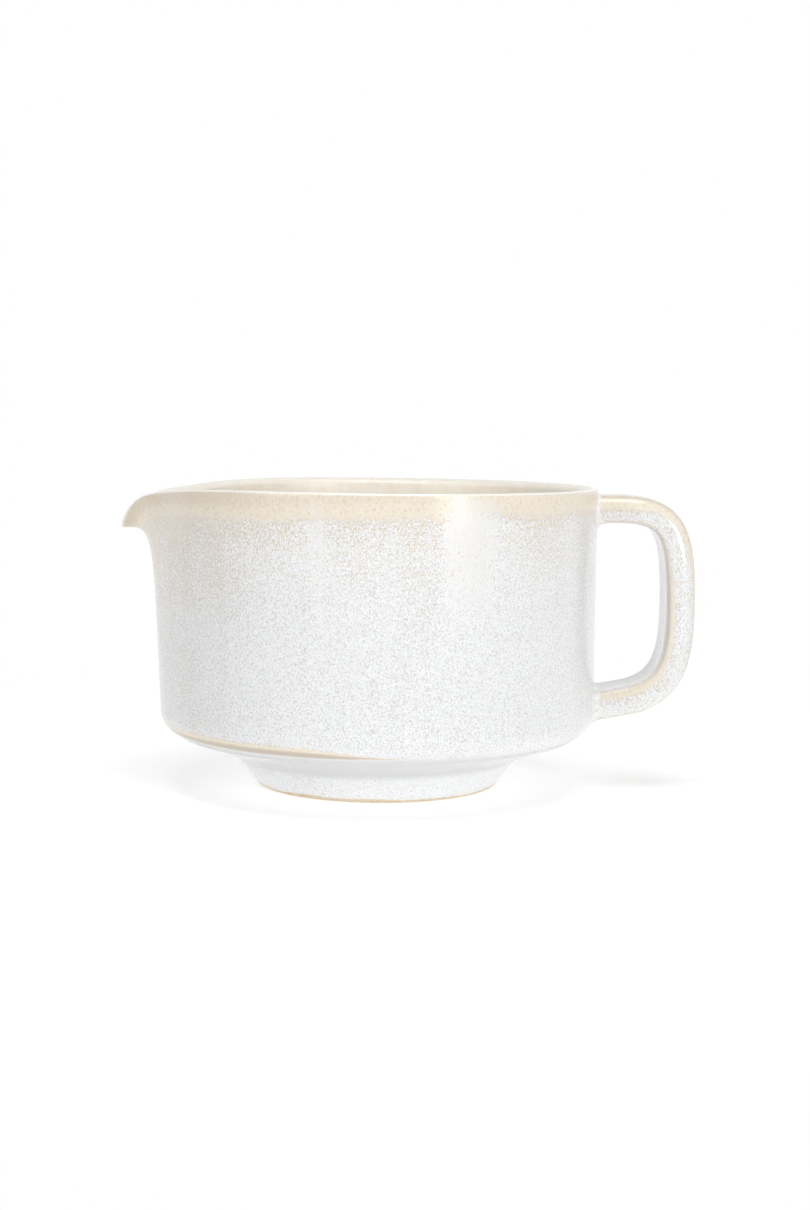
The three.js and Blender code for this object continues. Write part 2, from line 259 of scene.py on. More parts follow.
# Floor and light, in metres, degrees and shader strengths. The floor's glow has two distances and the
# strengths there. A panel's radiance is set, not its power.
FLOOR_SIZE = 6
FLOOR_FADE = (0.1, 0.28)
FLOOR_COLOUR = (0.65, 0.65, 0.65, 1)
FLOOR_LIFT = 0.55
FLOOR_GLOW = (0.05, 0.11, 0.46, 0.33)
FILL_STRENGTH = 0.14
LIGHT_AIM = (0, 0, 0.04)
PANELS = {
    "key": {"turn": 38, "rise": 10, "distance": 1, "size": (0.32, 0.32), "radiance": 13},
    "side": {"turn": -48, "rise": 16, "distance": 1, "size": (0.5, 0.5), "radiance": 3.5},
    "top": {"turn": 0, "rise": 82, "distance": 0.9, "size": (0.6, 0.4), "radiance": 5.4},
    "back": {"turn": 165, "rise": 25, "distance": 1, "size": (0.6, 0.5), "radiance": 2.2, "mirrored": False},
}

# Mesh steps, and the angle in degrees from which an edge is sharp
TURN_STEPS = 288
TURN_BUNCHING = 0.5
BASE_STEPS = 7
NECK_STEPS = 8
CONE_STEPS = 61
SHOULDER_STEPS = 28
WALL_STEPS = 61
RIM_OUTER_STEPS = 10
RIM_INNER_STEPS = 14
INNER_WALL_STEPS = 41
INNER_SHOULDER_STEPS = 22
FLOOR_TURN_STEPS = 11
FLOOR_STEPS = 9
FOOT_EDGE_STEPS = 6
FOOT_FLANK_STEPS = 29
FOOT_INNER_STEPS = 7
SPOUT_LINE_POINTS = 200
SPOUT_SPAN = 0.01
PATH_POINTS = 200
STRAP_STEPS = 180
CORNER_STEPS = 16
SECTION_STEPS = 112
LIP_STEPS = 5
JOINT_STEPS = 14
SHARP_ANGLE = 50


def node_points(name):
    """Points of a node of the frame, in millimetres."""
    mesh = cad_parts[name].data
    flat = np.empty(3 * len(mesh.vertices))
    mesh.vertices.foreach_get("co", flat)
    return flat.reshape(-1, 3) / MM


# Overall sizes read from the frame
body_low, body_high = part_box("bowl_body")
foot_low, foot_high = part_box("foot_ring")
strap_low, strap_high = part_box("handle_strap")
foot_points = node_points("foot_ring")
spout_points = node_points("pouring_spout")

AXIS_X = (foot_low.x + foot_high.x) / 2 / MM
RIM_HEIGHT = body_high.z / MM
WALL_RADIUS = (body_high.y - body_low.y) / 2 / MM
STRAP_WIDTH = (strap_high.y - strap_low.y) / MM
HANDLE_REACH = strap_high.x / MM - AXIS_X
HANDLE_TOP = strap_high.z / MM - STRAP_TOP_THICKNESS / 2
SPOUT_REACH = np.hypot(spout_points[:, 0] - AXIS_X, spout_points[:, 1]).max() - SPOUT_TRIM
foot_face = foot_points[foot_points[:, 2] < FOOT_FACE_LIMIT]
FOOT_RADIUS = np.hypot(foot_face[:, 0] - AXIS_X, foot_face[:, 1]).max() + FOOT_EDGE_RADIUS

MID_WALL = WALL_RADIUS - WALL_THICKNESS / 2
INNER_RADIUS = WALL_RADIUS - WALL_THICKNESS
SHOULDER_HEIGHT = FOOT_HEIGHT + SHOULDER_RISE
HANDLE_BOTTOM = SHOULDER_HEIGHT + HANDLE_BOTTOM_RISE


def smooth(low, high, value):
    """Goes softly from 0 at low to 1 at high."""
    share = np.clip((value - low) / (high - low), 0, 1)
    return share * share * (3 - 2 * share)


def gain(amount, start, end, azimuth):
    """An amount that comes in softly between two turns."""
    return amount * smooth(start, end, azimuth)


def spaced(steps, start=0, end=1):
    """Numbers from start to end with this many equal steps between them."""
    return np.linspace(start, end, steps + 1)


def arc(centre, radius, start, end, steps):
    """Points of an arc of a circle, or of an ellipse if two radii are given."""
    angles = spaced(steps, start, end)
    return np.asarray(centre) + np.asarray(radius) * np.stack([np.cos(angles), np.sin(angles)], 1)


def bezier(points, shares):
    """Points of a Bezier curve of any degree."""
    level = [np.asarray(p, float)[None, :] for p in points]
    t = np.asarray(shares, float)[:, None]
    while len(level) > 1:
        level = [(1 - t) * a + t * b for a, b in zip(level, level[1:])]
    return level[0]


def upright_line(radius, heights):
    """Points above each other at one radius, as radius and height."""
    return np.stack([np.full_like(heights, radius), heights], 1)


def level_line(radii, height):
    """Points beside each other at one height, as radius and height."""
    return np.stack([radii, np.full_like(radii, height)], 1)


def lengths_along(points):
    """Distance along a line to each of its points."""
    steps = np.linalg.norm(np.diff(points, axis=0), axis=1)
    return np.concatenate([[0], np.cumsum(steps)])


def even_points(points, count):
    """The same line with this many points at equal distances along it."""
    along = lengths_along(points)
    wanted = np.linspace(0, along[-1], count)
    return np.stack([np.interp(wanted, along, column) for column in points.T], 1)


# Foot neck and underside: the underside touches the shoulder as a tangent
NECK = np.array([FOOT_RADIUS + FOOT_FLARE, FOOT_HEIGHT])
SHOULDER_CENTRE = np.array([WALL_RADIUS - SHOULDER_RADIUS, SHOULDER_HEIGHT])
to_shoulder = SHOULDER_CENTRE - NECK
tangent_turn = math.asin(SHOULDER_RADIUS / np.linalg.norm(to_shoulder))
UNDER_SLOPE = math.atan2(to_shoulder[1], to_shoulder[0]) - tangent_turn
UNDER = np.array([math.cos(UNDER_SLOPE), math.sin(UNDER_SLOPE)])
UNDER_OUTWARD = np.array([UNDER[1], -UNDER[0]])
FOOT_CORNER = np.array([FOOT_RADIUS, 0])
FLANK = (FOOT_CORNER - NECK) / np.linalg.norm(FOOT_CORNER - NECK)
NECK_TURN = math.pi - math.acos(float(FLANK @ UNDER))
NECK_BACK = FOOT_NECK_FILLET * math.tan(NECK_TURN / 2)
NECK_CURVE = [NECK + FLANK * NECK_BACK, NECK, NECK + UNDER * NECK_BACK]
SEAM = bezier(NECK_CURVE, [FOOT_SEAM_SHARE])[0]
UNDER_END = SHOULDER_CENTRE + SHOULDER_RADIUS * UNDER_OUTWARD


def ridge(distance):
    """Height share of the fine turning line where the underside meets the shoulder."""
    return np.exp(-(((distance - RIDGE_DISTANCE) / RIDGE_WIDTH) ** 2))


def outer_profile(top):
    """Radius and height from the underside's middle up to the rim. The rim's inner rounding starts at top."""
    base = level_line(spaced(BASE_STEPS, 0, SEAM[0])[:-1], SEAM[1])
    neck = bezier(NECK_CURVE, spaced(NECK_STEPS, FOOT_SEAM_SHARE, 1))
    cone = neck[-1] + spaced(CONE_STEPS)[1:-1, None] * (UNDER_END - neck[-1])
    raised = ridge(np.linalg.norm(UNDER_END - cone, axis=1))[:, None]
    cone += UNDER_OUTWARD * RIDGE_HEIGHT * raised
    shoulder = arc(SHOULDER_CENTRE, SHOULDER_RADIUS, UNDER_SLOPE - QUARTER, 0, SHOULDER_STEPS)
    heights = SHOULDER_HEIGHT + (top - SHOULDER_HEIGHT) * spaced(WALL_STEPS)[1:]
    # One more ring close below the rim's rounding keeps its shading narrow
    heights = np.append(heights, RIM_HEIGHT - RIM_OUTER_EDGE - RIM_SUPPORT)
    edge_centre = (WALL_RADIUS - RIM_OUTER_EDGE, RIM_HEIGHT - RIM_OUTER_EDGE)
    rim = arc(edge_centre, RIM_OUTER_EDGE, 0, QUARTER, RIM_OUTER_STEPS)
    return np.concatenate([base, neck, cone, shoulder, upright_line(WALL_RADIUS, heights), rim])


def inner_profile(top):
    """Radius and height from the rim down to the middle of the floor inside."""
    rim_radii = (WALL_THICKNESS - RIM_OUTER_EDGE, RIM_HEIGHT - top)
    rim = arc((WALL_RADIUS - RIM_OUTER_EDGE, top), rim_radii, QUARTER, math.pi, RIM_INNER_STEPS)
    slope_start = NECK - FLOOR_THICKNESS * UNDER_OUTWARD
    centre_x = INNER_RADIUS - INNER_SHOULDER_RADIUS
    rise = (centre_x - slope_start[0]) * math.tan(UNDER_SLOPE)
    centre_z = slope_start[1] + rise + INNER_SHOULDER_RADIUS / math.cos(UNDER_SLOPE)
    heights = centre_z + (top - centre_z) * spaced(INNER_WALL_STEPS, 1, 0)[1:-1]
    centre = (centre_x, centre_z)
    shoulder = arc(centre, INNER_SHOULDER_RADIUS, 0, UNDER_SLOPE - QUARTER, INNER_SHOULDER_STEPS)
    turn_end = (slope_start[0] - INNER_FLOOR_BLEND, slope_start[1])
    turn = bezier([shoulder[-1], slope_start, turn_end], spaced(FLOOR_TURN_STEPS)[1:])
    flat = level_line(spaced(FLOOR_STEPS, turn[-1][0], 0)[1:], slope_start[1])
    return np.concatenate([rim[1:], upright_line(INNER_RADIUS, heights), shoulder, turn, flat])


def bell(angle, spread):
    """1 at the spout, falling to 0 on both sides."""
    return np.exp(-(np.abs(angle / math.radians(spread)) ** SPOUT_BELL_POWER))


spout_curve = [
    (MID_WALL, SHOULDER_HEIGHT),
    (MID_WALL + SPOUT_LEAN, RIM_HEIGHT - SPOUT_BEND_DROP),
    (MID_WALL + SPOUT_LEAN, RIM_HEIGHT - SPOUT_LIP_DROP + SPOUT_LIP_ARCH),
    (SPOUT_REACH, RIM_HEIGHT - SPOUT_LIP_DROP),
]
dense_spout = bezier(spout_curve, np.linspace(0, 1, 2 * SPOUT_LINE_POINTS))
spout_line = even_points(dense_spout, SPOUT_LINE_POINTS)


def pull_out(angle, share):
    """How far the wall follows the spout's line outwards, for a share of the way up."""
    spread = SPOUT_ROOT_SPREAD + (SPOUT_LIP_SPREAD - SPOUT_ROOT_SPREAD) * share
    return bell(angle, spread)


def pulled_midline(angle, share):
    """Middle of the wall at an angle from the spout, for a share of the way up, as radius and height."""
    straight = SHOULDER_HEIGHT + (RIM_HEIGHT - SHOULDER_HEIGHT) * share
    along = np.clip(share, 0, 1) * (len(spout_line) - 1)
    spout_r = np.interp(along, np.arange(len(spout_line)), spout_line[:, 0])
    spout_z = np.interp(along, np.arange(len(spout_line)), spout_line[:, 1])
    deep = bell(angle, SPOUT_DROOP_SPREAD)
    wide = bell(angle, SPOUT_WIDE_DROOP_SPREAD)
    down = deep + (wide - deep) * SPOUT_WIDE_DROOP_SHARE
    radius = MID_WALL + pull_out(angle, share) * (spout_r - MID_WALL)
    return radius, straight + down * (spout_z - straight)


def pulled_point(radius, height, angle):
    """Where a point of the plain turned wall lies once the spout is pulled, as radius and height."""
    share = (height - SHOULDER_HEIGHT) / (RIM_HEIGHT - SHOULDER_HEIGHT)
    above = pulled_midline(angle, min(share + SPOUT_SPAN, 1))
    below = pulled_midline(angle, max(share - SPOUT_SPAN, 0))
    along_r, along_z = above[0] - below[0], above[1] - below[1]
    length = np.hypot(along_r, along_z)
    thinning = SPOUT_LIP_THINNING * pull_out(angle, share) * share**SPOUT_THINNING_POWER
    offset = (radius - MID_WALL) * (1 - thinning)
    middle_r, middle_z = pulled_midline(angle, share)
    return middle_r + along_z / length * offset, middle_z - along_r / length * offset


def make_piece(name, rings, closed, attributes):
    """Object with a skin over rings of points in millimetres. Its ends meet, or are capped with a point."""
    count, steps = rings.shape[:2]
    points = rings.reshape(-1, 3)
    faces = []
    for i in range(count if closed else count - 1):
        near, far = i * steps, (i + 1) % count * steps
        for j in range(steps):
            k = (j + 1) % steps
            faces.append((near + j, near + k, far + k, far + j))
    if not closed:
        middles = [(rings[i].min(0) + rings[i].max(0)) / 2 for i in (0, -1)]
        points = np.concatenate([points, middles])
        last = (count - 1) * steps
        for j in range(steps):
            k = (j + 1) % steps
            faces.append((count * steps, k, j))
            faces.append((count * steps + 1, last + j, last + k))
    mesh = bpy.data.meshes.new(name)
    mesh.from_pydata((points * MM).tolist(), [], faces)
    for key, values in attributes.items():
        values = np.broadcast_to(values, rings.shape[:2])
        ends = [] if closed else [values[0, 0], values[-1, 0]]
        layer = mesh.attributes.new(key, "FLOAT", "POINT")
        layer.data.foreach_set("value", np.append(values.ravel(), ends).astype(np.float32))
    mesh.shade_smooth()
    mesh.set_sharp_from_angle(angle=math.radians(SHARP_ANGLE))
    mesh.validate()
    piece = bpy.data.objects.new(name, mesh)
    bpy.context.scene.collection.objects.link(piece)
    return piece


def front_azimuth(points):
    """Degrees round the axis from the front or, mirrored, from the back, negative towards the spout."""
    return np.degrees(np.arctan2(points[..., 0] - AXIS_X, np.abs(points[..., 1])))


def make_bowl():
    """Bowl with its spout, as rings of the turned profile that are pulled out at the spout."""
    top = RIM_HEIGHT - WALL_THICKNESS / 2
    outside = outer_profile(top)[1:]
    profile = np.concatenate([outside, inner_profile(top)[:-1]])
    even = np.linspace(-math.pi, math.pi, TURN_STEPS, endpoint=False)
    # The spout is at angle 0, and points lie closer together there
    angle = even - TURN_BUNCHING * np.sin(even)
    rings = np.zeros((len(profile), TURN_STEPS, 3))
    for i, (radius, height) in enumerate(profile):
        r, z = np.full(TURN_STEPS, radius), np.full(TURN_STEPS, height)
        if height > SHOULDER_HEIGHT and radius > MID_WALL - WALL_THICKNESS:
            r, z = pulled_point(radius, height, angle)
        rings[i, :, 0] = AXIS_X - r * np.cos(angle)
        rings[i, :, 1] = r * np.sin(angle)
        rings[i, :, 2] = z
    along = lengths_along(profile)
    # Depth is counted from the top of the rim's outer edge, and is negative inside
    depth = (along[len(outside) - 1] - along)[:, None]
    azimuth = front_azimuth(rings)
    attributes = {
        "thin": np.maximum(rim_thinness(depth, azimuth), shoulder_thinness(profile, depth, azimuth)),
        "cream": smooth(*LINING_DEPTHS, -depth),
        # Thick glaze; in the stronger run it also carries a painted reflection
        "thick_and_sheen": runs_and_painted_sheen(depth, azimuth) * (rings[:, :, 1] < 0),
        "bare": 0,
        "depth": depth,
        # Painted shade under the shoulder and in the neck
        "painted_shade": neck_shade(profile)[:, None],
    }
    return make_piece("glazed_bowl", rings, False, attributes)


def rim_thinness(depth, azimuth):
    """Beige band below the rim, a little wider towards the spout, with a haze that fades down the wall."""
    away = np.abs(depth)
    reach = RIM_BAND + gain(*RIM_BAND_GAIN, azimuth)
    band = 1 - smooth(reach + RIM_BAND_FADE[0], reach + RIM_BAND_FADE[1], away)
    towards_spout = sum(gain(*edge_gain, azimuth) for edge_gain in RIM_EDGE_GAINS)
    edge = (1 - smooth(*RIM_EDGE_DEPTHS, away)) * (RIM_EDGE + towards_spout)
    long_tail = (LONG_TAIL + gain(*LONG_TAIL_GAIN, azimuth)) * (1 - smooth(*LONG_TAIL_DEPTHS, away))
    short_tail = (SHORT_TAIL + gain(*SHORT_TAIL_GAIN, azimuth)) * (1 - smooth(*SHORT_TAIL_DEPTHS, away))
    tail = long_tail + short_tail
    return np.maximum(band + edge, tail + gain(*SPOUT_SIDE_GAIN, azimuth) * (1 - tail))


def shoulder_thinness(profile, depth, azimuth):
    """Beige band along the shoulder, which slips lower and dies out towards the front.

    Its lower edge is crisp, and its deepest part is darkened as painted shade where the shoulder faces down.
    """
    radius, height = profile.T
    turn = np.arctan2(height - SHOULDER_CENTRE[1], radius - SHOULDER_CENTRE[0])
    fall = np.sin(turn) / math.sin(UNDER_SLOPE - QUARTER)
    outside = (depth[:, 0] > 0) & (radius > SHOULDER_CENTRE[0])
    on_shoulder = outside & (height < SHOULDER_HEIGHT + SHOULDER_MARGIN)
    fall = np.where(on_shoulder, fall, OFF_SHOULDER)[:, None]
    centre = SHOULDER_BAND_PLACE + gain(*SHOULDER_BAND_SLIP, azimuth)
    half = SHOULDER_BAND_HALF * (1 - smooth(*SHOULDER_BAND_TURNS, azimuth)) + LEAST_HALF
    offset = (fall - centre) / half
    rise = smooth(*SHOULDER_BAND_RISE, offset)
    # The deeper rise reaches the biscuit colour: thinnest glaze, and painted shade where the shoulder faces
    # down
    rise = rise + SHOULDER_BAND_DEEPER_AND_SHADE * smooth(*SHOULDER_BAND_DEEP_AND_SHADE_RISE, offset)
    return rise * (1 - smooth(*SHOULDER_BAND_EDGE, offset)) * (half > SEEN_HALF)


def runs_and_painted_sheen(depth, azimuth):
    """Two milky runs of glaze that start below the rim. The stronger one also stands for a reflection of a
    light, as a painted pale sheen.
    """
    strong_and_sheen = smooth(*STRONG_RUN_AND_SHEEN_START, azimuth) * (1 - smooth(*STRONG_RUN_AND_SHEEN_END, azimuth))
    weak = np.exp(-(((azimuth - WEAK_RUN_TURN) / WEAK_RUN_SPREAD) ** 2))
    end = 1 - smooth(*RUN_BOTTOM, depth)
    return smooth(*RUN_TOP, depth) * end * (STRONG_RUN_AND_SHEEN * strong_and_sheen + WEAK_RUN * weak)


def neck_shade(profile):
    """Painted shade: greyer colour under the shoulder and in the hollow neck, which face down towards the
    floor.
    """
    height = profile[:, 1]
    above_foot = smooth(SEAM[1] - NECK_SHADE_FADE, SEAM[1], height)
    below_shoulder = smooth(UNDER_END[1] + NECK_SHADE_FADE, UNDER_END[1] - NECK_SHADE_FADE / 2, height)
    return NECK_SHADE * above_foot * below_shoulder


def make_foot():
    """Foot ring from its inner wall round the face that it stands on to the neck."""
    face = FOOT_RADIUS - FOOT_FACE_WIDTH
    inner = face - FOOT_EDGE_RADIUS
    edge_turn = [FOOT_CORNER - (FOOT_EDGE_RADIUS, 0), FOOT_CORNER, FOOT_CORNER - FLANK * FOOT_EDGE_RADIUS]
    edge = bezier(edge_turn, spaced(FOOT_EDGE_STEPS))
    inner_edge = bezier([(inner, FOOT_EDGE_RADIUS), (inner, 0), (face, 0)], spaced(FOOT_EDGE_STEPS))
    flank = edge[-1] + spaced(FOOT_FLANK_STEPS)[1:, None] * (NECK_CURVE[0] - edge[-1])
    neck = bezier(NECK_CURVE, spaced(NECK_STEPS, 0, FOOT_SEAM_SHARE))[1:]
    inner_wall = upright_line(inner, spaced(FOOT_INNER_STEPS, SEAM[1], FOOT_EDGE_RADIUS))
    profile = np.concatenate([inner_wall, inner_edge[1:], edge, flank, neck])
    angle = np.linspace(-math.pi, math.pi, TURN_STEPS, endpoint=False)
    radius, height = profile[:, :1], profile[:, 1:]
    x = AXIS_X + radius * np.cos(angle)
    y = radius * np.sin(angle)
    rings = np.stack([x, y, np.broadcast_to(height, x.shape)], 2)
    # Its depth is far below the rim everywhere, so the flecks are cool
    attributes = {
        "thin": 0,
        "cream": 0,
        "thick_and_sheen": FOOT_THICK,
        "bare": foot_bareness(radius, height, angle),
        "depth": SHOULDER_HEIGHT + RIM_HEIGHT,
        # Painted shade in the neck
        "painted_shade": neck_shade(profile)[:, None],
    }
    return make_piece("glazed_foot", rings, True, attributes)


def foot_bareness(radius, height, angle):
    """Bare clay on the face that the foot stands on, up to a wavy line where the glaze was wiped off."""
    glaze_line = FOOT_GLAZE_LINE
    for wave_height, count, turn in FOOT_GLAZE_WAVES:
        glaze_line = glaze_line + wave_height * np.sin(count * angle + turn)
    wiped = 1 - smooth(glaze_line - FOOT_GLAZE_BLUR, glaze_line + FOOT_GLAZE_BLUR, height)
    on_face = np.where(height < FOOT_EDGE_RADIUS, 1, 0)
    return np.where(radius > FOOT_RADIUS - FOOT_EDGE_RADIUS, wiped, on_face)


def bottom_height(x):
    """Height of the middle of the strap's lower arm at a distance from the axis."""
    return HANDLE_BOTTOM + (x - WALL_RADIUS) * math.tan(math.radians(HANDLE_BOTTOM_SLOPE))


def strap_path():
    """Middle of the strap as distance from the axis and height, from the upper root to the lower root."""
    grip_x = HANDLE_REACH - STRAP_THICKNESS / 2
    root_x = WALL_RADIUS - STRAP_SINK
    top_x = WALL_RADIUS + HANDLE_TOP_ARM
    sweep_x = top_x + HANDLE_TOP_SWEEP
    bottom_x = WALL_RADIUS + HANDLE_BOTTOM_ARM
    pull_x = bottom_x + HANDLE_BOTTOM_SWEEP
    grip = (grip_x, (HANDLE_TOP + HANDLE_BOTTOM) / 2)
    grip_top = (grip_x, HANDLE_TOP - HANDLE_TOP_CORNER)
    grip_bottom = (grip_x, HANDLE_BOTTOM + HANDLE_BOTTOM_CORNER)
    pull = (pull_x, bottom_height(pull_x))
    bottom = (bottom_x, bottom_height(bottom_x))
    shares = np.linspace(0, 1, PATH_POINTS)
    upper = bezier([(top_x, HANDLE_TOP), (sweep_x, HANDLE_TOP), grip_top, grip], shares)
    lower = bezier([grip, grip_bottom, pull, bottom], shares)
    start = np.array([[root_x, HANDLE_TOP]])
    end = np.array([[root_x, bottom_height(root_x)]])
    return even_points(np.concatenate([start, upper, lower[1:], end]), STRAP_STEPS)


def strap_thickness(share):
    """Thickness of the strap, which is thinner at its upper end."""
    return STRAP_TOP_THICKNESS + (STRAP_THICKNESS - STRAP_TOP_THICKNESS) * smooth(*STRAP_TAPER, share)


def strap_section(thickness):
    """Section of the strap as distance outwards and across: a box with rounded edges and a slight crown."""
    half, side = thickness / 2, STRAP_WIDTH / 2
    corners = []
    for out, across, edge in (
        (1, 1, STRAP_OUTER_EDGE),
        (-1, 1, STRAP_INNER_EDGE),
        (-1, -1, STRAP_INNER_EDGE),
        (1, -1, STRAP_OUTER_EDGE),
    ):
        start = len(corners) * QUARTER
        centre = (out * (half - edge[0]), across * (side - edge[1]))
        corners.append(arc(centre, edge, start, start + QUARTER, CORNER_STEPS))
    line = np.concatenate([*corners, corners[0][:1]])
    out, across = even_points(line, SECTION_STEPS + 1)[:-1].T
    across = across * (1 - STRAP_CROWN * (out / half) ** 2)
    out = out * (1 - STRAP_CROWN * np.where(out > 0, across / side, 0) ** 2)
    return np.stack([out, across], 1)


def section_normals(section):
    """Outward directions of the strap's section, as parts outwards and across."""
    tangent = np.roll(section, -1, 0) - np.roll(section, 1, 0)
    normal = np.stack([tangent[:, 1], -tangent[:, 0]], 1)
    return normal / np.linalg.norm(normal, axis=1)[:, None]


def make_handle():
    """Strap handle, as sections along its path from inside the wall above to inside the wall below."""
    path = strap_path()
    along = np.gradient(path, axis=0)
    along /= np.linalg.norm(along, axis=1)[:, None]
    outward = np.stack([-along[:, 1], along[:, 0]], 1)
    thickness = strap_thickness(np.linspace(0, 1, STRAP_STEPS))
    sections = np.stack([strap_section(t) for t in thickness])
    spot = path[:, None, :] + sections[:, :, :1] * outward[:, None, :]
    rings = np.stack([AXIS_X + spot[:, :, 0], sections[:, :, 1], spot[:, :, 1]], 2)
    thin, thick_and_sheen, painted_shade = strap_glaze(sections, thickness[:, None] / 2)
    attributes = {"thin": thin, "cream": 0, "thick_and_sheen": thick_and_sheen, "bare": 0, "depth": STRAP_DEPTH, "painted_shade": painted_shade}
    return make_piece("glazed_handle", rings, False, attributes)


def strap_glaze(sections, half):
    """Thin beige glaze on the upper arm and along the strap's edges, and thick glaze on its inner face. Along
    the grip the inner stripe is darkened and greyed as painted shade.
    """
    share = np.linspace(0, 1, STRAP_STEPS)[:, None]
    from_outer, from_inner = half - sections[:, :, 0], half + sections[:, :, 0]
    from_side = STRAP_WIDTH / 2 - np.abs(sections[:, :, 1])
    arm = np.interp(share, ARM_SHARES, ARM_WIDTHS)
    outer = 1 - smooth(ARM_FADE[0] * arm, ARM_FADE[1] * arm, from_outer)
    outer *= 1 - FACE_COVER * smooth(*FACE_COVER_SIDE, from_side) * smooth(*FACE_COVER_SHARES, share)
    outer *= 1 + ARM_DEEPER * smooth(*ARM_DEEP_FACE, from_outer) * smooth(*ARM_DEEP_SHARES, share)
    stripe = np.interp(share, STRIPE_SHARES, STRIPE_WIDTHS)
    inner = 1 - smooth(STRIPE_FADE[0] * stripe, STRIPE_FADE[1] * stripe, from_inner)
    inner *= 1 - smooth(*STRIPE_SIDE, from_side)
    on_inner_face = 1 - smooth(*INNER_FACE_DEPTH, from_inner)
    thick_and_sheen = INNER_FACE_THICK * smooth(*INNER_FACE_SIDE, from_side) * on_inner_face
    grip = smooth(*GRIP_SHARES, share)
    # Painted shade: along the grip the inner stripe is pushed deeper towards tan and biscuit, and greyed
    thin = np.maximum(outer, (1 + GRIP_DEEPER_AND_SHADE * grip) * inner)
    return thin, thick_and_sheen, GRIP_SHADE * grip * inner


def wall_distance(across, height):
    """Distance from the axis, along X, of the bowl's outer surface."""
    below = np.clip(SHOULDER_HEIGHT - height, 0, FILLET_LOWEST * SHOULDER_RADIUS)
    radius = SHOULDER_CENTRE[0] + np.sqrt(SHOULDER_RADIUS**2 - below**2)
    return np.sqrt(radius**2 - across**2)


def make_joint(name, height, slope, end, fillet, glaze_amounts):
    """Slip fillet round the strap's upper (0) or lower (1) end: a rounded lip, then a hollow flare."""
    section = strap_section(strap_thickness(end))
    outer_side = 1 - 2 * end
    normal = section_normals(section)
    gap_side = smooth(*FILLET_GAP_SIDE, -normal[:, 0])
    (round_length, round_spread), (gap_length, gap_spread) = fillet
    length = round_length + (gap_length - round_length) * gap_side
    spread = round_spread + (gap_spread - round_spread) * gap_side
    stations = []
    for angle in spaced(LIP_STEPS, 0, QUARTER):
        raised = (1 + FILLET_LIP_SINK) * math.sin(angle) - FILLET_LIP_SINK
        stations.append((length + FILLET_LIP * math.cos(angle), FILLET_LIP * raised))
    for share in spaced(JOINT_STEPS)[1:]:
        stations.append((length * (1 - share), FILLET_LIP + spread * (1 - math.sqrt(1 - share**2))))
    stations.append((-FILLET_SINK, FILLET_LIP + spread))
    rings = np.zeros((len(stations), SECTION_STEPS, 3))
    tilt = math.tan(math.radians(slope))
    for i, (out, flare) in enumerate(stations):
        grown = section + normal * np.broadcast_to(flare, SECTION_STEPS)[:, None]
        rings[i, :, 1] = grown[:, 1]
        rings[i, :, 2] = height + out * tilt + outer_side * grown[:, 0]
        rings[i, :, 0] = AXIS_X + wall_distance(rings[i, :, 1], rings[i, :, 2]) + out
    thin, thick_and_sheen = glaze_amounts
    attributes = {"thin": thin, "cream": 0, "thick_and_sheen": thick_and_sheen, "bare": 0, "depth": STRAP_DEPTH, "painted_shade": 0}
    return make_piece(name, rings, False, attributes)


# Materials

def linear(red, green, blue):
    """Shader colour of a display colour given in 0 to 255."""
    def channel(value):
        value /= 255
        return value / 12.92 if value <= 0.04045 else ((value + 0.055) / 1.055) ** 2.4
    return (channel(red), channel(green), channel(blue), 1)


WHITE = linear(249, 251, 252)
MILK = linear(232, 235, 238)
COOL_FLECK = linear(215, 212, 209)
WARM_FLECK = linear(220, 207, 191)
BEIGE = linear(239, 230, 213)
TAN = linear(225, 212, 193)
BISCUIT_AND_SHADE = linear(200, 188, 172)
FRECKLE = linear(206, 186, 164)
HIGHLIGHT_WHITE = linear(252, 250, 246)
VEIL_AND_SHEEN = linear(239, 236, 230)
SHADE_GREY = linear(216, 217, 217)
CREAM = linear(248, 243, 232)
CREAM_SHADE = linear(244, 237, 225)
CLAY = linear(222, 208, 184)
CLAY_DARK = linear(208, 190, 162)
SPECK = linear(120, 92, 62)
PLAIN_WHITE = (1, 1, 1, 1)


def new_material(name):
    """Empty material and its node tree."""
    material = bpy.data.materials.new(name)
    material.use_nodes = True
    material.node_tree.nodes.clear()
    return material, material.node_tree


def add_node(tree, kind, inputs, **settings):
    """New node with its settings, and its inputs set to values or linked to other nodes' outputs."""
    made = tree.nodes.new(kind)
    for key, value in settings.items():
        setattr(made, key, value)
    for key, value in inputs.items():
        if isinstance(value, bpy.types.NodeSocket):
            tree.links.new(value, made.inputs[key])
        else:
            made.inputs[key].default_value = value
    return made


def object_place(tree):
    """Place on the object, in metres."""
    return add_node(tree, "ShaderNodeTexCoord", {}).outputs["Object"]


def noise(tree, place, scale, detail=2, roughness=0.5):
    """Soft random pattern from 0 to 1."""
    inputs = {"Vector": place, "Scale": scale, "Detail": detail, "Roughness": roughness}
    return add_node(tree, "ShaderNodeTexNoise", inputs).outputs["Fac"]


def math_node(tree, operation, first, second, third=0, clamp=False):
    """Result of a calculation with up to three values."""
    inputs = {0: first, 1: second, 2: third}
    return add_node(tree, "ShaderNodeMath", inputs, operation=operation, use_clamp=clamp).outputs[0]


def ease(tree, value, low, high, start=0, end=1):
    """Goes softly from start to end as the value goes from low to high."""
    inputs = {"Value": value, "From Min": low, "From Max": high, "To Min": start, "To Max": end}
    return add_node(tree, "ShaderNodeMapRange", inputs, interpolation_type="SMOOTHSTEP").outputs["Result"]


def blend(tree, factor, first, second):
    """Colour between two colours."""
    # The node's inputs 6 and 7 and its output 2 are colours
    made = add_node(tree, "ShaderNodeMix", {0: factor, 6: first, 7: second}, data_type="RGBA")
    return made.outputs[2]


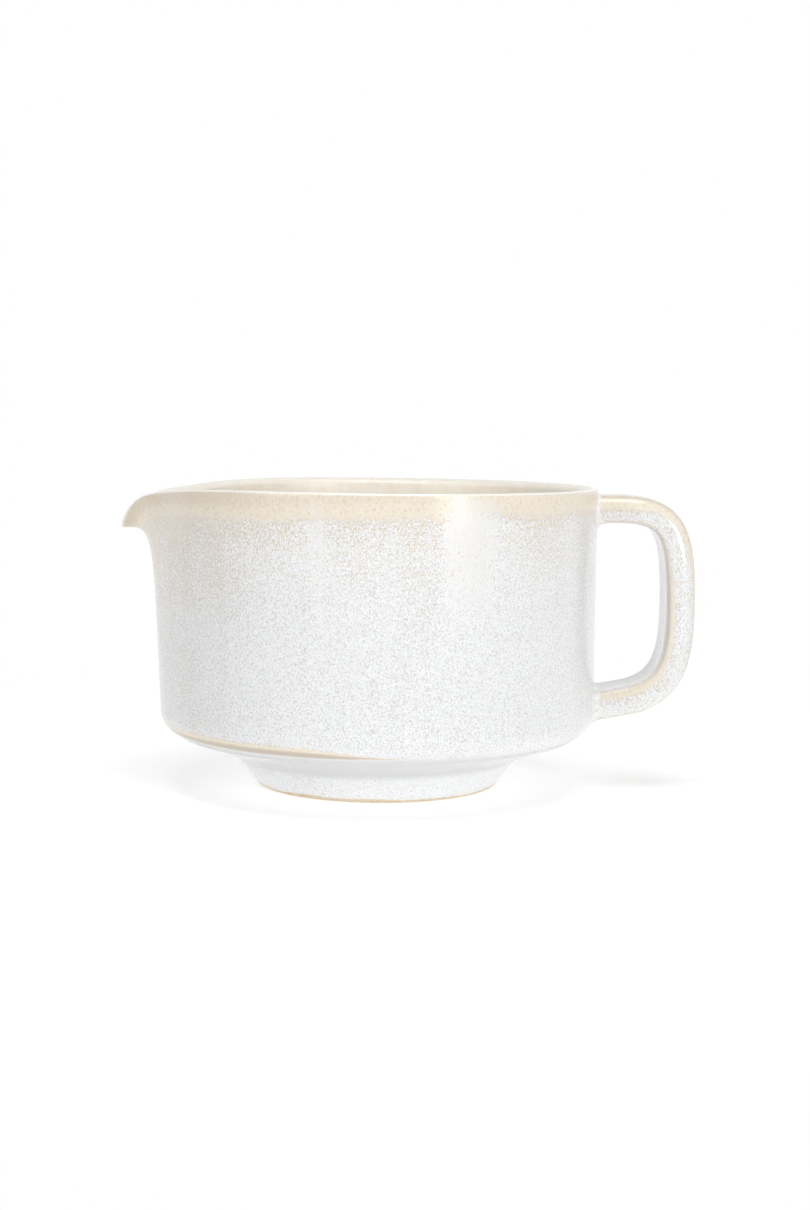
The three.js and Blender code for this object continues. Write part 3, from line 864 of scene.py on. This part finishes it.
def stretched(tree, place, scale):
    """Place with each axis scaled, so that a pattern gets longer where the scale is small."""
    made = add_node(tree, "ShaderNodeVectorMath", {0: place, 1: scale}, operation="MULTIPLY")
    return made.outputs[0]


def attribute(tree, name):
    """Value that the mesh holds under this name."""
    return add_node(tree, "ShaderNodeAttribute", {}, attribute_name=name).outputs["Fac"]


def glaze_material():
    """Milky speckled glaze that breaks to beige where it is thin, with a cream lining and bare clay."""
    material, tree = new_material("speckled_glaze")
    place = object_place(tree)
    thin, cream, thick_and_sheen = (attribute(tree, name) for name in ("thin", "cream", "thick_and_sheen"))
    bare, depth, painted_shade = (attribute(tree, name) for name in ("bare", "depth", "painted_shade"))

    upright = stretched(tree, place, GRAIN_STRETCH)
    grain = noise(tree, upright, GRAIN_SCALE, *ROUGH_NOISE)
    mottle = noise(tree, upright, MOTTLE_SCALE, *ROUGH_NOISE)
    broken = broken_share(tree, place, mottle, thin, thick_and_sheen)
    flecks = fleck_pattern(tree, grain, broken, thick_and_sheen)

    milk = milk_colour(tree, upright, broken)
    coat = blend(tree, flecks, milk, fleck_colour(tree, depth, thin, broken))
    coat = blend(tree, ease(tree, broken, *BAND_BREAK), coat, band_colour(tree, mottle, thin))
    # Thick glaze turns to a pale veil, which in the stronger run is also a painted reflection
    coat = blend(tree, ease(tree, thick_and_sheen, *VEIL_AND_SHEEN_COVER), coat, VEIL_AND_SHEEN)
    # Painted shade: grey under the shoulder, in the neck and along the grip's inner edge
    coat = blend(tree, painted_shade, coat, SHADE_GREY)
    dots = ease(tree, noise(tree, place, DOT_SCALE, detail=1), *DOT_EDGE)
    coat = blend(tree, dots, coat, FRECKLE)
    # Painted highlight: a pale line along the rim's crest
    from_rim = math_node(tree, "ABSOLUTE", depth, 0)
    coat = blend(tree, ease(tree, from_rim, *RIM_HIGHLIGHT_FADE), coat, HIGHLIGHT_WHITE)
    coat = blend(tree, cream, coat, lining_colour(tree, place))
    coat = blend(tree, pinholes(tree, place), coat, SPECK)
    colour = blend(tree, bare, coat, clay_colour(tree, place))

    roughness = glaze_roughness(tree, flecks, cream, bare)
    normal = glaze_relief(tree, place, grain)
    inputs = {"Base Color": colour, "Roughness": roughness, "IOR": GLAZE_IOR, "Normal": normal}
    shader = add_node(tree, "ShaderNodeBsdfPrincipled", inputs)
    add_node(tree, "ShaderNodeOutputMaterial", {"Surface": shader.outputs[0]})
    return material


def around_zero(tree, pattern, amount):
    """Pattern moved to lie around 0, times an amount."""
    return math_node(tree, "MULTIPLY", math_node(tree, "SUBTRACT", pattern, NOISE_MIDDLE), amount)


def broken_share(tree, place, mottle, thin, thick_and_sheen):
    """How far the glaze has broken to beige: its thinness, made uneven by runs, clouds and stipple."""
    runs = noise(tree, stretched(tree, place, RUN_STRETCH), RUN_SCALE)
    cloud = noise(tree, place, CLOUD_SCALE)
    play = math_node(tree, "ADD", around_zero(tree, cloud, CLOUD_PLAY), around_zero(tree, runs, RUN_PLAY))
    stipple = around_zero(tree, mottle, STIPPLE_PLAY)
    play = math_node(tree, "MULTIPLY_ADD", stipple, ease(tree, thin, *STIPPLE_THINNESS), play)
    level = math_node(tree, "MULTIPLY_ADD", thick_and_sheen, THICK_MENDS, thin)
    return math_node(tree, "ADD", level, play, clamp=True)


def fleck_pattern(tree, grain, broken, thick_and_sheen):
    """1 in the flecks and 0 between them. Broken glaze has more flecks, and thick glaze has fewer."""
    level = math_node(tree, "MULTIPLY_ADD", broken, FLECK_LEVEL_BROKEN, FLECK_LEVEL)
    level = math_node(tree, "MULTIPLY_ADD", thick_and_sheen, FLECK_LEVEL_THICK, level)
    return ease(tree, math_node(tree, "SUBTRACT", grain, level), *FLECK_EDGE)


def fleck_colour(tree, depth, thin, broken):
    """Flecks are cool on the lower wall, warm near the rim and in thin glaze, and melt into the beige."""
    fleck = blend(tree, ease(tree, depth, *COOL_DEPTHS), WARM_FLECK, COOL_FLECK)
    fleck = blend(tree, ease(tree, thin, *WARM_THINNESS), fleck, WARM_FLECK)
    return blend(tree, ease(tree, broken, *FLECK_BREAK), fleck, BEIGE)


def milk_colour(tree, upright, broken):
    """Milky glaze with a fine grain, which turns beige where it breaks."""
    fine = noise(tree, upright, FINE_SCALE, detail=1)
    milk = blend(tree, ease(tree, fine, *MILK_GRAIN), MILK, WHITE)
    return blend(tree, ease(tree, broken, *MILK_BREAK), milk, BEIGE)


def band_colour(tree, mottle, thin):
    """Beige of the thin bands, mottled with tan, and darker where the glaze is thinnest; the biscuit colour
    is also painted shade on the shoulder and along the grip's inner edge.
    """
    mottled = ease(tree, mottle, *TAN_MOTTLE)
    deep = math_node(tree, "ADD", mottled, ease(tree, thin, *TAN_THINNESS), clamp=True)
    band = blend(tree, deep, BEIGE, TAN)
    # Biscuit colour: the thinnest glaze, and painted shade on the shoulder and along the grip's inner edge
    return blend(tree, ease(tree, thin, *BISCUIT_AND_SHADE_THINNESS), band, BISCUIT_AND_SHADE)


def lining_colour(tree, place):
    """Cream glaze inside the bowl."""
    mottle = noise(tree, place, LINING_SCALE, *ROUGH_NOISE)
    return blend(tree, ease(tree, mottle, *LINING_MOTTLE), CREAM, CREAM_SHADE)


def clay_colour(tree, place):
    """Bare clay under the foot."""
    clay_grain = noise(tree, place, CLAY_SCALE, *ROUGH_NOISE)
    return blend(tree, ease(tree, clay_grain, *CLAY_GRAIN), CLAY, CLAY_DARK)


def pinholes(tree, place):
    """Sparse small dark pinholes, in about one of seven cells."""
    inputs = {"Vector": place, "Scale": PINHOLE_SCALE, "Randomness": 1}
    cells = add_node(tree, "ShaderNodeTexVoronoi", inputs)
    chosen = add_node(tree, "ShaderNodeSeparateColor", {0: cells.outputs["Color"]}).outputs[0]
    some = math_node(tree, "LESS_THAN", chosen, PINHOLE_SHARE)
    spot = ease(tree, cells.outputs["Distance"], *PINHOLE_EDGE)
    return math_node(tree, "MULTIPLY", some, spot)


def glaze_roughness(tree, flecks, cream, bare):
    """Glossy glaze, a softer lining and dull clay."""
    gloss = ease(tree, flecks, 0, 1, MILK_ROUGHNESS, FLECK_ROUGHNESS)
    gloss = ease(tree, cream, 0, 1, gloss, LINING_ROUGHNESS)
    # The node's inputs 2 and 3 and its output 0 are numbers
    inputs = {0: bare, 2: gloss, 3: CLAY_ROUGHNESS}
    return add_node(tree, "ShaderNodeMix", inputs, data_type="FLOAT").outputs[0]


def glaze_relief(tree, place, grain):
    """Slight waves and grain in the glaze's surface."""
    peel = math_node(tree, "MULTIPLY", noise(tree, place, PEEL_SCALE), PEEL_HEIGHT)
    relief = math_node(tree, "ADD", peel, math_node(tree, "MULTIPLY", grain, GRAIN_HEIGHT))
    inputs = {"Strength": BUMP_STRENGTH, "Distance": BUMP_DISTANCE, "Height": relief}
    return add_node(tree, "ShaderNodeBump", inputs).outputs[0]


def floor_material():
    """Plain white floor, softly lit from within, that keeps the shadow and fades to a white background."""
    material, tree = new_material("plain_floor")
    place = object_place(tree)
    away = add_node(tree, "ShaderNodeVectorMath", {0: place}, operation="LENGTH").outputs["Value"]
    seen = seen_directly(tree)
    far = math_node(tree, "MULTIPLY", ease(tree, away, *FLOOR_FADE), seen)
    plain = add_node(tree, "ShaderNodeBsdfDiffuse", {"Color": FLOOR_COLOUR}).outputs[0]
    glow = ease(tree, seen, 0, 1, ease(tree, away, *FLOOR_GLOW), FLOOR_LIFT)
    glowing = add_node(tree, "ShaderNodeEmission", {"Color": PLAIN_WHITE, "Strength": glow}).outputs[0]
    surface = add_node(tree, "ShaderNodeAddShader", {0: plain, 1: glowing}).outputs[0]
    white = add_node(tree, "ShaderNodeEmission", {"Color": PLAIN_WHITE, "Strength": 1}).outputs[0]
    mixed = add_node(tree, "ShaderNodeMixShader", {0: far, 1: surface, 2: white}).outputs[0]
    add_node(tree, "ShaderNodeOutputMaterial", {"Surface": mixed})
    return material


def seen_directly(tree):
    """1 for what the camera sees, also in reflections and through glass."""
    ray = add_node(tree, "ShaderNodeLightPath", {})
    shiny = math_node(tree, "MAXIMUM", ray.outputs["Is Glossy Ray"], ray.outputs["Is Transmission Ray"])
    return math_node(tree, "MAXIMUM", ray.outputs["Is Camera Ray"], shiny)


# Stage: floor, light and camera

def make_floor():
    """Square floor round the origin."""
    mesh = bpy.data.meshes.new("floor")
    half = FLOOR_SIZE / 2
    corners = [(-half, -half, 0), (half, -half, 0), (half, half, 0), (-half, half, 0)]
    mesh.from_pydata(corners, [], [(0, 1, 2, 3)])
    floor = bpy.data.objects.new("floor", mesh)
    bpy.context.scene.collection.objects.link(floor)
    mesh.materials.append(floor_material())


def make_world():
    """Weak even light from all sides, with a white background."""
    world = bpy.data.worlds.new("studio")
    bpy.context.scene.world = world
    world.use_nodes = True
    tree = world.node_tree
    tree.nodes.clear()
    strength = ease(tree, seen_directly(tree), 0, 1, FILL_STRENGTH, 1)
    sky = add_node(tree, "ShaderNodeBackground", {"Color": PLAIN_WHITE, "Strength": strength})
    add_node(tree, "ShaderNodeOutputWorld", {"Surface": sky.outputs[0]})


def make_panel(name, turn, rise, distance, size, radiance, mirrored=True):
    """Soft light panel in a direction given by degrees to the right of the front and above the floor."""
    lamp = bpy.data.lights.new(name, "AREA")
    lamp.shape = "RECTANGLE"
    lamp.size, lamp.size_y = size
    lamp.energy = math.pi * size[0] * size[1] * radiance
    turn, rise = math.radians(turn), math.radians(rise)
    way = Vector((math.sin(turn) * math.cos(rise), -math.cos(turn) * math.cos(rise), math.sin(rise)))
    holder = bpy.data.objects.new(name, lamp)
    holder.location = Vector(LIGHT_AIM) + way * distance
    holder.rotation_euler = (-way).to_track_quat("-Z", "Y").to_euler()
    holder.visible_camera = False
    holder.visible_glossy = mirrored
    bpy.context.scene.collection.objects.link(holder)


def make_camera():
    """Camera at the photograph's viewing angle."""
    yaw, pitch, roll = (math.radians(v) for v in (CAMERA_YAW, CAMERA_PITCH, CAMERA_ROLL))
    level = math.cos(pitch)
    forward = Vector((math.sin(yaw) * level, math.cos(yaw) * level, -math.sin(pitch)))
    right = Vector((math.cos(yaw), -math.sin(yaw), 0))
    up = right.cross(forward)
    side = right * math.cos(roll) + up * math.sin(roll)
    top = up * math.cos(roll) - right * math.sin(roll)
    camera = bpy.data.cameras.new("camera")
    camera.sensor_width = SENSOR
    camera.lens = CAMERA_FOCAL * SENSOR / IMAGE_HEIGHT
    camera.clip_start = CAMERA_NEAR * MM
    holder = bpy.data.objects.new("camera", camera)
    bpy.context.scene.collection.objects.link(holder)
    turn = Matrix((side, top, -forward)).transposed().to_4x4()
    place = (Vector(CAMERA_PLACE) + Vector((AXIS_X, 0, 0))) * MM
    holder.matrix_world = Matrix.Translation(place) @ turn
    bpy.context.scene.camera = holder


def dress(piece, material, slot, *nodes):
    """Gives a piece its material, puts it on the root body and hides the nodes that it stands in for."""
    piece.data.materials.append(material)
    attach(piece, "root")
    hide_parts(*nodes)


glaze = glaze_material()
dress(make_bowl(), glaze, "glazed_clay", "bowl_body", "pouring_spout", "spout_slip_joint")
dress(make_foot(), glaze, "glazed_clay", "foot_ring", "foot_slip_joint")
dress(make_handle(), glaze, "glazed_clay", "handle_strap")
upper_joint = make_joint("upper_joint_fillet", HANDLE_TOP, 0, 0, TOP_FILLET, TOP_JOINT_GLAZE)
dress(upper_joint, glaze, "slip", "handle_top_slip_joint")
lower_joint = make_joint(
    "lower_joint_fillet", HANDLE_BOTTOM, HANDLE_BOTTOM_SLOPE, 1, BOTTOM_FILLET, BOTTOM_JOINT_GLAZE
)
dress(lower_joint, glaze, "slip", "handle_bottom_slip_joint")

make_floor()
make_world()
for panel_name, panel in PANELS.items():
    make_panel(panel_name, **panel)
make_camera()

bpy.context.scene.view_settings.view_transform = "Standard"
